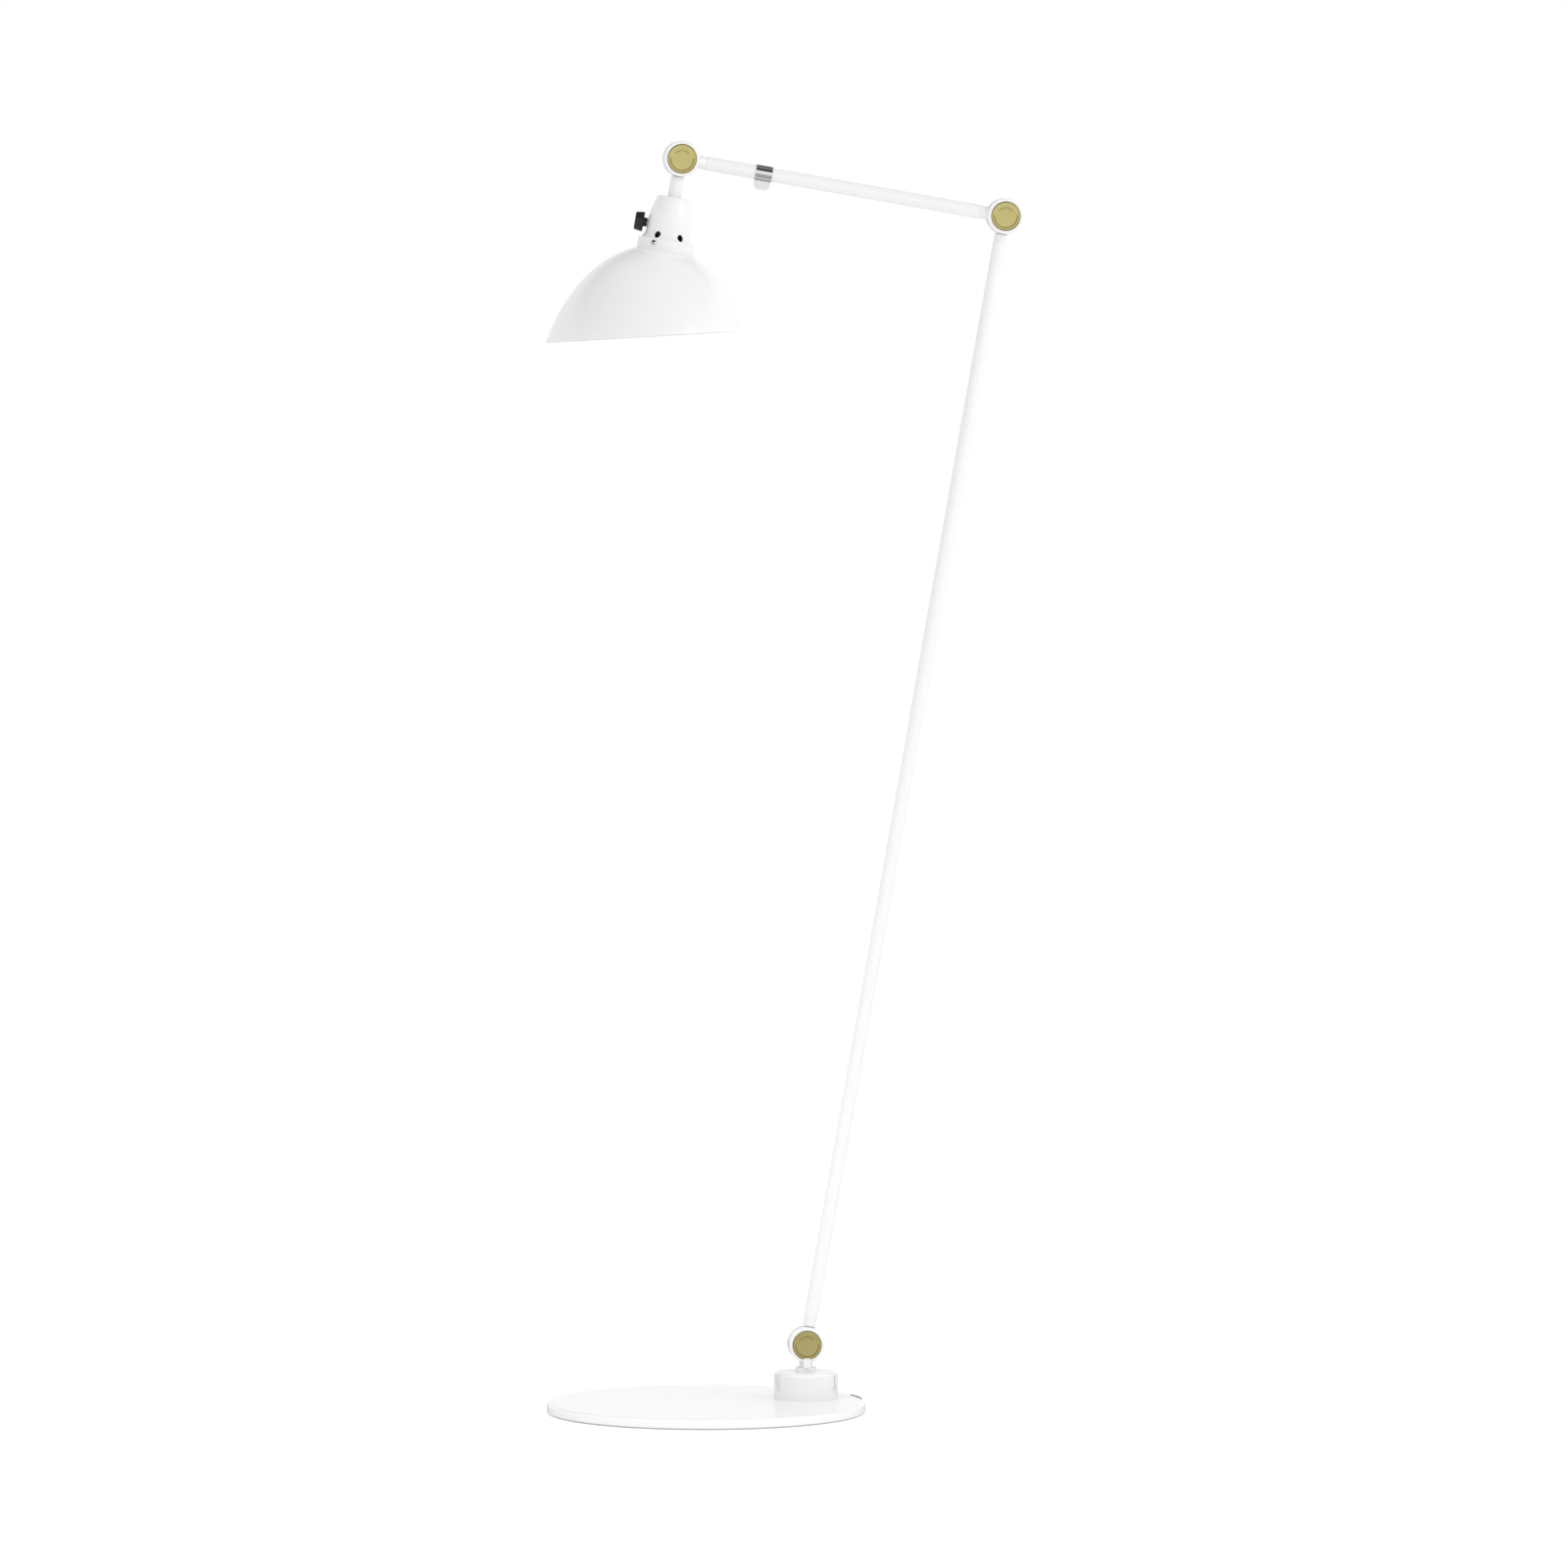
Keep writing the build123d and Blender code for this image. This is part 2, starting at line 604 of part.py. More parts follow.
# ---- neck -------------------------------------------------------------------
def nipple_stack():
    """Where each piece on the neck's nipple starts."""
    washer = COVER_TOP_AT + COVER_TOP + FACE_GAP
    spring = washer + NECK_WASHER
    nut = spring + SPRING_RISE + SPRING_SHEET
    return washer, spring, nut, nut + NECK_NUT


def neck_eye():
    shoulder = COVER_TOP_AT - FACE_GAP
    end = nipple_stack()[-1] + THREAD_END
    body = flat_eye() + rod(NECK_RADIUS, RING_RADIUS + NECK_STEP, shoulder)
    body += rod(NIPPLE_RADIUS, shoulder, end)
    return body - rod(LEAD_BORE, lead_bore_start, end + BEYOND)


def neck_washer():
    start = nipple_stack()[0]
    return rod(NECK_WASHER_RADIUS, start, start + NECK_WASHER, NIPPLE_RADIUS + SNUG)


def neck_spring():
    start = nipple_stack()[1]
    return disc_spring(NECK_SPRING_RADIUS, NIPPLE_RADIUS + LOOSE, start, SPRING_RISE, SPRING_SHEET)


def neck_nut():
    start = nipple_stack()[2]
    return hexagon(NECK_NUT_FLATS, start, start + NECK_NUT, NIPPLE_RADIUS + SNUG)


# ---- head -------------------------------------------------------------------
def cover_outline(inset, top):
    """The cover's side from its top edge to the skirt's end, drawn inset from the outside."""
    corner = (COVER_TOP_RADIUS - inset, top)
    shoulder = (COVER_RADIUS - inset, COVER_SHOULDER_AT)
    flare = (COVER_RADIUS - inset, COVER_FLARE_AT)
    skirt = (SKIRT_RADIUS - inset, SKIRT_AT)
    end = (SKIRT_RADIUS - inset, SKIRT_AT + SKIRT_LENGTH)
    bow = ((corner[0] + shoulder[0]) / 2 + COVER_BULGE, (top + COVER_SHOULDER_AT) / 2)
    dip = ((flare[0] + skirt[0]) / 2 - FLARE_BOW, (COVER_FLARE_AT + SKIRT_AT) / 2 + FLARE_BOW)
    cone = ThreePointArc(corner, bow, shoulder)
    throat = ThreePointArc(flare, dip, skirt)
    return spun(cone, Line(shoulder, flare), throat, Polyline(skirt, end, (0, end[1]), (0, top), corner))


def socket_cover():
    cover = cover_outline(0, COVER_TOP_AT)
    cover = fillet(cover.edges().group_by(Axis.Z)[0], COVER_ROUND)
    cover -= cover_outline(COVER_WALL, COVER_TOP_AT + COVER_TOP)
    cover -= rod(NIPPLE_RADIUS + RUNNING, 0, SKIRT_AT)
    for number in range(VENT_COUNT):
        turn = Rot(0, 0, VENT_AZIMUTH + number * 360 / VENT_COUNT)
        cover -= turn * Pos(0, 0, VENT_AT) * Rot(0, 90, 0) * rod(VENT_RADIUS, HOLDER_RADIUS, COLLAR_RADIUS)
    cover -= Pos(0, 0, KNOB_AT) * Rot(0, 90, 0) * rod(SPINDLE_RADIUS + LOOSE, HOLDER_RADIUS, COLLAR_RADIUS)
    for place in collar_screw_places():
        cover -= place * rod(COLLAR_SCREW_RADIUS + SNUG, HOLDER_RADIUS, COLLAR_RADIUS)
    return cover


def collar_screw_places():
    """Frames whose +Z is each collar screw's axis, pointing out of the head."""
    for number in range(COLLAR_SCREW_COUNT):
        turn = Rot(0, 0, COLLAR_SCREW_AZIMUTH + number * 360 / COLLAR_SCREW_COUNT)
        yield turn * Pos(0, 0, COLLAR_SCREW_AT) * Rot(0, 90, 0)


def ellipsoid(inset):
    """The shade's full ellipsoid, drawn inset from the outside."""
    radius = SHADE_RADIUS - inset
    height = SHADE_HEIGHT - inset
    arc = EllipticalCenterArc((0, shade_centre), radius, height, start_angle=-90, arc_size=90)
    return spun(arc, Polyline((radius, shade_centre), (0, shade_centre), (0, shade_centre - height)))


def shade_level(radius, inset):
    """How far down the neck's axis the shade's surface is at a radius."""
    share = radius / (SHADE_RADIUS - inset)
    return shade_centre - (SHADE_HEIGHT - inset) * sqrt(1 - share ** 2)


def shade():
    shell = ellipsoid(0) - ellipsoid(SHADE_SHEET)
    shell -= rod(SHADE_HOLE_RADIUS, 0, shade_centre)
    size = 4 * SHADE_RADIUS
    beyond = Box(size, size, size, align=BOTTOM)
    mouth = Pos(0, 0, MOUTH_AT) * Rot(0, -MOUTH_SLANT, 0)
    return shell - mouth * beyond


def shade_collar():
    """The ring that the shade hangs from; it slips over the cover's skirt."""
    end = shade_level(COLLAR_RADIUS, 0) + BEYOND
    skirt_end = SKIRT_AT + SKIRT_LENGTH + SNUG
    collar = rod(COLLAR_RADIUS, SKIRT_AT, end, COLLAR_LIP_RADIUS)
    collar -= rod(SKIRT_RADIUS + SNUG, 0, skirt_end)
    collar -= ellipsoid(0)
    for place in collar_screw_places():
        collar -= place * rod(COLLAR_SCREW_RADIUS + SNUG, HOLDER_RADIUS, COLLAR_RADIUS + BEYOND)
    return collar


def collar_screws():
    """Round-headed screws through collar and skirt."""
    seat = COLLAR_RADIUS
    inner = SKIRT_RADIUS - COVER_WALL - SCREW_END
    top = seat + COLLAR_SCREW_DOME
    dome = (COLLAR_SCREW_HEAD ** 2 + COLLAR_SCREW_DOME ** 2) / (2 * COLLAR_SCREW_DOME)
    first = degrees(atan2(dome - COLLAR_SCREW_DOME, COLLAR_SCREW_HEAD))
    crown = CenterArc((0, top - dome), dome, first, 90 - first)
    head = spun(crown, Polyline((0, top), (0, seat), (COLLAR_SCREW_HEAD, seat)))
    screw = head + rod(COLLAR_SCREW_RADIUS, inner, seat)
    return Compound(children=[place * screw for place in collar_screw_places()])


def mounting_plate():
    """The disc that carries the switch and the lampholder inside the cover."""
    share = (PLATE_AT - COVER_TOP_AT) / (COVER_SHOULDER_AT - COVER_TOP_AT)
    radius = COVER_TOP_RADIUS + share * (COVER_RADIUS - COVER_TOP_RADIUS) - COVER_WALL
    return rod(radius, PLATE_AT, PLATE_AT + HOLDER_PLATE, HOLDER_PLATE_HOLE)


def switch_body():
    body = rod(SWITCH_BODY_RADIUS, PLATE_AT + HOLDER_PLATE, SWITCH_BODY_END)
    bore = rod(SPINDLE_RADIUS + RUNNING, SPINDLE_IN_SWITCH - LOOSE, SWITCH_BODY_RADIUS + BEYOND)
    return body - Pos(0, 0, KNOB_AT) * Rot(0, 90, 0) * bore


def lampholder():
    body = rod(HOLDER_RADIUS, SWITCH_BODY_END, HOLDER_END)
    return body - rod(shell_radius + SNUG, shell_start, HOLDER_END + BEYOND)


def socket_shell():
    return rod(shell_radius, shell_start, HOLDER_END - SHELL_SHORT, shell_radius - SHELL_SHEET)


def centre_contact():
    return rod(CONTACT_RADIUS, shell_start, shell_start + CONTACT_SHEET)


def shade_ring():
    """The ring nut on the lampholder that clamps the shade from inside."""
    start = shade_level(SHADE_RING_RADIUS, SHADE_SHEET) + SNUG
    return rod(SHADE_RING_RADIUS, start, start + SHADE_RING, HOLDER_RADIUS + SNUG)


def bulb_cap():
    """The screw cap with its contact button."""
    start = bulb_start + BULB_TIP
    end = bulb_start + BULB_CAP_LENGTH
    tip = [(0, bulb_start), (CONTACT_RADIUS, bulb_start), (bulb_cap_radius, start)]
    cap = turned(*tip, (bulb_cap_radius, end), (0, end))
    return cap - rod(bulb_cap_radius - BULB_CAP_SHEET, start + BULB_CAP_SHEET, end + BEYOND)


def bulb_outline(inset):
    """A round bulb on a short neck, drawn inset from the outside."""
    start = bulb_start + BULB_CAP_LENGTH
    centre = bulb_start + BULB_LENGTH - BULB_RADIUS
    radius = BULB_RADIUS - inset
    neck = bulb_neck_radius - inset
    join = centre - sqrt(radius ** 2 - neck ** 2)
    first = degrees(atan2(join - centre, neck))
    low = start + inset
    globe = CenterArc((0, centre), radius, first, 90 - first)
    return spun(globe, Polyline((0, centre + radius), (0, low), (neck, low), (neck, join)))


def bulb_glass():
    return bulb_outline(0) - bulb_outline(GLASS_WALL)


def switch_knob():
    """The turned knob, along its own axis from the middle of the cover."""
    end = KNOB_START + KNOB_THICKNESS
    knob = turned((0, KNOB_START), (KNOB_INNER_RADIUS, KNOB_START), (KNOB_OUTER_RADIUS, end), (0, end))
    knob = round_ring(knob, KNOB_ROUND)
    knob += rod(KNOB_STEM_RADIUS, COVER_RADIUS + LOOSE, KNOB_START + KNOB_ROUND)
    return knob - rod(SPINDLE_RADIUS + SNUG, 0, KNOB_START + SPINDLE_IN_KNOB + SNUG)


def switch_spindle():
    return rod(SPINDLE_RADIUS, SPINDLE_IN_SWITCH, KNOB_START + SPINDLE_IN_KNOB)


# ---- the whole lamp, body by body -------------------------------------------
nodes = {
    "base_plate": base_plate(),
    "base_pad": base_pad(),
    "cable_gland": cable_gland(),
    "base_lead": base_lead(),
    "hub_cup": hub_cup(),
    "hub_screws": hub_screws(),
    "swivel_bush": swivel_bush(),
    "stop_pin": stop_pin(),
    "swivel_fork": turret_frame * swivel_fork(),
    "stop_washer": turret_frame * stop_washer(),
    "swivel_spring": turret_frame * swivel_spring(),
    "swivel_nut": turret_frame * swivel_nut(),
    "lower_arm_tube": lower_frame * arm_tube(LOWER_ARM),
    "lower_arm_base_eye": lower_frame * arm_eye(),
    "lower_arm_elbow_eye": lower_frame * far_end(LOWER_ARM) * arm_eye(),
    "lower_arm_grub_screws": lower_frame * arm_grub_screws(LOWER_ARM),
    "lower_arm_lead": lower_frame * arm_lead(LOWER_ARM),
    "upper_arm_tube": upper_frame * arm_tube(UPPER_ARM),
    "upper_arm_elbow_fork": upper_frame * arm_fork(),
    "upper_arm_head_fork": upper_frame * far_end(UPPER_ARM) * arm_fork(),
    "upper_arm_grub_screws": upper_frame * arm_grub_screws(UPPER_ARM),
    "upper_arm_lead": upper_frame * arm_lead(UPPER_ARM),
    "arm_clip": upper_frame * arm_clip(),
    "neck_eye": neck_frame * neck_eye(),
    "neck_washer": neck_frame * neck_washer(),
    "neck_spring": neck_frame * neck_spring(),
    "neck_nut": neck_frame * neck_nut(),
    "socket_cover": head_frame * socket_cover(),
    "mounting_plate": head_frame * mounting_plate(),
    "switch_body": head_frame * switch_body(),
    "lampholder": head_frame * lampholder(),
    "socket_shell": head_frame * socket_shell(),
    "centre_contact": head_frame * centre_contact(),
    "shade_collar": head_frame * shade_collar(),
    "collar_screws": head_frame * collar_screws(),
    "shade_ring": head_frame * shade_ring(),
    "shade": head_frame * shade(),
    "bulb_cap": head_frame * bulb_cap(),
    "bulb_glass": head_frame * bulb_glass(),
    "switch_knob": knob_frame * switch_knob(),
    "switch_spindle": knob_frame * switch_spindle(),
}
nodes.update(joint_hardware("base_joint", Pos(joint_a)))
nodes.update(joint_hardware("elbow", upper_frame))
nodes.update(joint_hardware("head_joint", upper_frame * far_end(UPPER_ARM)))

os.makedirs("parts", exist_ok=True)
for name, solid in nodes.items():
    export_step(solid, f"parts/{name}.step")
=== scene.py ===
import json
import math

import bmesh
import bpy
from mathutils import Matrix, Vector


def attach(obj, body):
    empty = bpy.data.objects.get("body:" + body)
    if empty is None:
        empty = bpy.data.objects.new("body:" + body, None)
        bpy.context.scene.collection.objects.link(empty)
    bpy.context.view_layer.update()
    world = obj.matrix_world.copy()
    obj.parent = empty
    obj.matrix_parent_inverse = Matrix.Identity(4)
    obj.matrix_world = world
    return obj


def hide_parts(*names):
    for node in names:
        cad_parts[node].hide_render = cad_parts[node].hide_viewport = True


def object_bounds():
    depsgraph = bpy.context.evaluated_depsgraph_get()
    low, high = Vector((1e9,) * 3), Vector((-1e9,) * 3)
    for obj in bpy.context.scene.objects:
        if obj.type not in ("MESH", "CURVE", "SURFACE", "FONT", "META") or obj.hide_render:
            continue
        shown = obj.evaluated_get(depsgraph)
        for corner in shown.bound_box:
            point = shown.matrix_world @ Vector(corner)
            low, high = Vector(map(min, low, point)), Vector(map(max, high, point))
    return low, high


# An adjustable arm floor lamp: camera, light, materials and detailed pieces
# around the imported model. Lengths are in millimetres unless a comment says
# otherwise; MM turns them into metres.

MM = 0.001
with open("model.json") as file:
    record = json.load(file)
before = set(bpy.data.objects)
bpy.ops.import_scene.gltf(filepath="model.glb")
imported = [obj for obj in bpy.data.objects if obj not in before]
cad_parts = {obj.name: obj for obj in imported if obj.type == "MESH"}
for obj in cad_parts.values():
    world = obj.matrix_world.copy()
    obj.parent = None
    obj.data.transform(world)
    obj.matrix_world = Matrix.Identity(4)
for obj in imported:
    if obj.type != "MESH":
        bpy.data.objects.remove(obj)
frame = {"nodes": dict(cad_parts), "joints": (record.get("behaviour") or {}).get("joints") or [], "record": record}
cad_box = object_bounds()
nodes = frame["nodes"]
joints = {joint["name"]: joint for joint in frame["joints"]}

# ---- camera, in metres and degrees ------------------------------------------
CAMERA_AZIMUTH = -5.5       # 0 looks along +Y
CAMERA_DISTANCE = 9.5
CAMERA_HEIGHT = 1.08
CAMERA_LENS = 251.3
AIM_RIGHT = 0.0679          # the picture's centre, to the right of the base's centre
AIM_HEIGHT = 0.5485

# ---- light, in metres, degrees and watts ------------------------------------
ROOM_SIDE = (0.80, -0.25, 0.50)     # the direction the room is brightest in
ROOM_LOW = 0.64
ROOM_HIGH = 1.27
BACKDROP = 1.0
# What polished pieces see, from straight down to straight up: how far up, how bright.
GLOSS_ROOM = [(0.50, 1.0), (0.70, 1.0), (0.78, 0.06), (0.94, 0.05), (0.97, 0.3), (1.0, 0.05)]
FLOOR_RADIUS = 12.0
FLOOR_DROP = 0.0002
FLOOR_WHITE = 0.93
FLOOR_GLOW = 0.15           # lifts the floor to the backdrop's plain white
FLOOR_IN_GLOSS = 0.45       # the floor in polished pieces, near the lamp
FLOOR_FADE = (2.5, 6.0)     # where it starts to fade to white, and where it ends
KEY_LIGHT = dict(
    azimuth=52, height=2.1, distance=3.0, size=(0.32, 0.55), power=9, aim_height=1.0, beam=180
)
BASE_LIGHT = dict(
    azimuth=-42, height=1.2, distance=1.5, size=(0.7, 0.7), power=0.45, aim_height=0.03, beam=40
)

# ---- brass ------------------------------------------------------------------
BRASS = (0.64, 0.56, 0.235)
# the dark brass of the painted shade on the rim and marks, and of the patina and painted shade in the groove
BRASS_SHADE_AND_PATINA = (0.16, 0.13, 0.04)
BRASS_ROUGHNESS = (0.30, 0.42)
RIM_PAINTED_SHADE = 0.75           # how strong the painted shade round the rim is
# how strong the painted shade on the raised marks' tops is
MARK_PAINTED_SHADE = 0.42
# how strong the groove's patina and painted shade are
GROOVE_PATINA_AND_SHADE = 0.6
GROOVE_SHADE_REACH = (0.2, 0.6)   # how far from the groove its patina and painted shade start to fade, and where they end
TURNED_RINGS = 620.0        # scale of the fine turned rings

# ---- caps, measured from the joint's centre ---------------------------------
CAP_RADIUS = 12.85
CAP_SEAT = 9.25
CAP_TOP = 11.25
CAP_FACE = CAP_TOP - 0.2
CAP_BLEND = 5.0             # an inner ring that keeps the flat face even
CAP_SEGMENTS = 128
GROOVE_RADIUS = 10.1
GROOVE_WIDTH = 0.7
GROOVE_FLOOR_WIDTH = 0.3
GROOVE_DEPTH = 0.3
MARK_COUNT = 17
MARK_INNER = 6.4
MARK_OUTER = 8.3
MARK_FIRST = 38.0           # degrees round from the cap's right
MARK_STEP = 6.5
MARK_HALF_WIDTHS = (0.22, 0.34)
MARK_SINK = 0.1
MARK_RISE = 0.14
MARK_TAPER = 0.995          # brings the marks' tops in towards the cap's centre
MARK_CUTS = (0.7, 0.6)      # how much shorter some marks are, inside and outside

# ---- knob, measured along the switch's axis ---------------------------------
KNOB_STEM_START = 19.7
KNOB_STEM_RADIUS = 3.9
KNOB_START = 22.6
KNOB_END = 30.2
KNOB_SEGMENTS = 144
FLUTE_COUNT = 18
FLUTE_DEPTH = 0.32
FLUTE_FROM = 7.0            # flutes move only points further out than this
POINTER_HALF_WIDTH = 0.35
POINTER_ENDS = (1.5, 6.0)

# ---- head, measured along the neck's axis from the head joint ---------------
COLLAR_RADIUS = 24.8
COLLAR_SCREW_AT = 76.0
COLLAR_SCREW_AZIMUTHS = (115.0, 295.0)
SCREW_HEAD = 2.7
SCREW_DOME = 2.0
SCREW_SHANK = 1.5
SCREW_LENGTH = 4.0
DOME_STEPS = 10
SCREW_SEGMENTS = 48
DRIVER_HALF_WIDTH = 0.35
DRIVER_DEPTH = 0.9
DRIVER_TURN = 35.0
DRIVER_REACH = 4.0
HOLDER_RADIUS = 15.8
HOLDER_START = 66.0
HOLDER_END = 90.0
HOLDER_BORE = 14.0
HOLDER_FLOOR = 3.0
HOLDER_PLAIN = 6.0          # plain length before the thread
HOLDER_MOUTH = 3.2          # plain length after it
HOLDER_PITCH = 1.8
HOLDER_THREAD = 0.5
RING_RADIUS = 21.0
RING_BORE = 15.9
RING_START = 82.6
RING_END = 88.4
LOBE_COUNT = 12
LOBE_DEPTH = 0.9
LOBE_FROM = 19.5            # lobes move only points further out than this
RING_SEGMENTS = 144
BULB_START = 70.2
BULB_CAP_END = BULB_START + 24.0
BULB_CAP_RADIUS = 12.9
BULB_END = BULB_START + 72.0
BULB_RADIUS = 22.5
BULB_PITCH = 3.6
BULB_THREAD = 0.55
BULB_THREAD_FROM = 12.0     # the thread moves only points further out than this
BULB_THREAD_STEP = 0.4      # between the cap's rings of points
GLOBE_FIRST = -52.0         # degrees up the globe where its neck joins
GLOBE_STEPS = 32

# ---- clip, measured along the upper arm from the elbow ----------------------
TUBE_RADIUS = 6.0
CLIP_ALONG = 214.0
CLIP_WIDTH = 14.3
CLIP_SHEET = 0.8
CLIP_TONGUE = 8.5
CLIP_ROUND = 5.0
CLIP_PLAY = 0.03
LEAF_ROOT = 0.9             # from the band's inside to where the leaves start
LEAF_GAP = 0.02             # half the gap between the tongue's leaves
LEAF_STEPS = 24
LEAF_CROWDING = 1.6         # crowds the steps towards the tongue's rounded tip
BAND_STEPS = 72


# ---- stage ------------------------------------------------------------------
def make_camera():
    turn = math.radians(CAMERA_AZIMUTH)
    ahead = Vector((-math.sin(turn), math.cos(turn), 0))
    right = Vector((math.cos(turn), math.sin(turn), 0))
    aim = right * AIM_RIGHT + Vector((0, 0, AIM_HEIGHT))
    place = right * AIM_RIGHT - ahead * CAMERA_DISTANCE + Vector((0, 0, CAMERA_HEIGHT))
    data = bpy.data.cameras.new("camera")
    data.lens = CAMERA_LENS
    data.sensor_width = 36.0
    data.clip_end = 100.0
    camera = bpy.data.objects.new("camera", data)
    camera.location = place
    camera.rotation_mode = "QUATERNION"
    camera.rotation_quaternion = (aim - place).to_track_quat("-Z", "Y")
    bpy.context.collection.objects.link(camera)
    bpy.context.scene.camera = camera


def softbox(name, azimuth, height, distance, size, power, aim_height, beam):
    """A rectangular lamp at an azimuth round the object, facing it."""
    turn = math.radians(azimuth)
    data = bpy.data.lights.new(name, "AREA")
    data.shape = "RECTANGLE"
    data.size, data.size_y = size
    data.energy = power
    data.spread = math.radians(beam)
    lamp = bpy.data.objects.new(name, data)
    lamp.location = (math.sin(turn) * distance, -math.cos(turn) * distance, height)
    aim = Vector((0, 0, aim_height)) - lamp.location
    lamp.rotation_mode = "QUATERNION"
    lamp.rotation_quaternion = aim.to_track_quat("-Z", "Y")
    bpy.context.collection.objects.link(lamp)


def add(tree, kind, **settings):
    """A new node with its settings."""
    node = tree.nodes.new(kind)
    for name, value in settings.items():
        setattr(node, name, value)
    return node


def make_world():
    """Plain white behind everything, a room brighter on the right, and a darker ceiling in the gloss."""
    world = bpy.data.worlds.new("studio")
    bpy.context.scene.world = world
    world.use_nodes = True
    tree = world.node_tree
    tree.nodes.clear()
    link = tree.links.new
    output = add(tree, "ShaderNodeOutputWorld")
    path = add(tree, "ShaderNodeLightPath")
    place = add(tree, "ShaderNodeTexCoord")

    side = add(tree, "ShaderNodeVectorMath", operation="DOT_PRODUCT")
    side.inputs[1].default_value = ROOM_SIDE
    room = add(tree, "ShaderNodeMapRange")
    room.inputs["From Min"].default_value = -1.0
    room.inputs["To Min"].default_value = ROOM_LOW
    room.inputs["To Max"].default_value = ROOM_HIGH
    link(place.outputs["Generated"], side.inputs[0])
    link(side.outputs["Value"], room.inputs["Value"])

    parts = add(tree, "ShaderNodeSeparateXYZ")
    level = add(tree, "ShaderNodeMapRange")
    level.inputs["From Min"].default_value = -1.0
    gloss = add(tree, "ShaderNodeValToRGB")
    stops = gloss.color_ramp.elements
    while len(stops) < len(GLOSS_ROOM):
        stops.new(1.0)
    for stop, (position, bright) in zip(stops, GLOSS_ROOM):
        stop.position = position
        stop.color = (bright, bright, bright, 1)
    link(place.outputs["Generated"], parts.inputs["Vector"])
    link(parts.outputs["Z"], level.inputs["Value"])
    link(level.outputs["Result"], gloss.inputs["Fac"])

    light = add(tree, "ShaderNodeBackground")
    mirror = add(tree, "ShaderNodeBackground")
    plain = add(tree, "ShaderNodeBackground")
    plain.inputs["Strength"].default_value = BACKDROP
    plain.inputs["Color"].default_value = (1, 1, 1, 1)
    link(room.outputs["Result"], light.inputs["Strength"])
    light.inputs["Color"].default_value = (1, 1, 1, 1)
    link(gloss.outputs["Color"], mirror.inputs["Color"])
    inner = add(tree, "ShaderNodeMixShader")
    outer = add(tree, "ShaderNodeMixShader")
    link(path.outputs["Is Glossy Ray"], inner.inputs["Fac"])
    link(light.outputs["Background"], inner.inputs[1])
    link(mirror.outputs["Background"], inner.inputs[2])
    link(path.outputs["Is Camera Ray"], outer.inputs["Fac"])
    link(inner.outputs["Shader"], outer.inputs[1])
    link(plain.outputs["Background"], outer.inputs[2])
    link(outer.outputs["Shader"], output.inputs["Surface"])


def floor_paint():
    """Matte white that reads as the plain backdrop, and greyer in the gloss of polished pieces."""
    paint = bpy.data.materials.new("studio_floor")
    paint.use_nodes = True
    tree = paint.node_tree
    shader = tree.nodes["Principled BSDF"]
    shader.inputs["Base Color"].default_value = (FLOOR_WHITE, FLOOR_WHITE, FLOOR_WHITE, 1)
    shader.inputs["Roughness"].default_value = 1.0
    shader.inputs["Specular IOR Level"].default_value = 0.0
    shader.inputs["Emission Color"].default_value = (1, 1, 1, 1)
    shader.inputs["Emission Strength"].default_value = FLOOR_GLOW
    place = add(tree, "ShaderNodeTexCoord")
    away = add(tree, "ShaderNodeVectorMath", operation="LENGTH")
    fade = add(tree, "ShaderNodeMapRange")
    fade.inputs["From Min"].default_value, fade.inputs["From Max"].default_value = FLOOR_FADE
    fade.inputs["To Min"].default_value = FLOOR_IN_GLOSS
    grey = add(tree, "ShaderNodeEmission")
    tree.links.new(place.outputs["Object"], away.inputs[0])
    tree.links.new(away.outputs["Value"], fade.inputs["Value"])
    tree.links.new(fade.outputs["Result"], grey.inputs["Strength"])
    path = add(tree, "ShaderNodeLightPath")
    mix = add(tree, "ShaderNodeMixShader")
    tree.links.new(path.outputs["Is Glossy Ray"], mix.inputs["Fac"])
    tree.links.new(shader.outputs["BSDF"], mix.inputs[1])
    tree.links.new(grey.outputs["Emission"], mix.inputs[2])
    tree.links.new(mix.outputs["Shader"], tree.nodes["Material Output"].inputs["Surface"])
    return paint


def make_floor():
    mesh = bpy.data.meshes.new("floor")
    shape = bmesh.new()
    bmesh.ops.create_circle(shape, cap_ends=True, segments=96, radius=FLOOR_RADIUS)
    shape.to_mesh(mesh)
    shape.free()
    floor = bpy.data.objects.new("floor", mesh)
    floor.location.z = cad_box[0].z - FLOOR_DROP
    bpy.context.collection.objects.link(floor)
    mesh.materials.append(floor_paint())


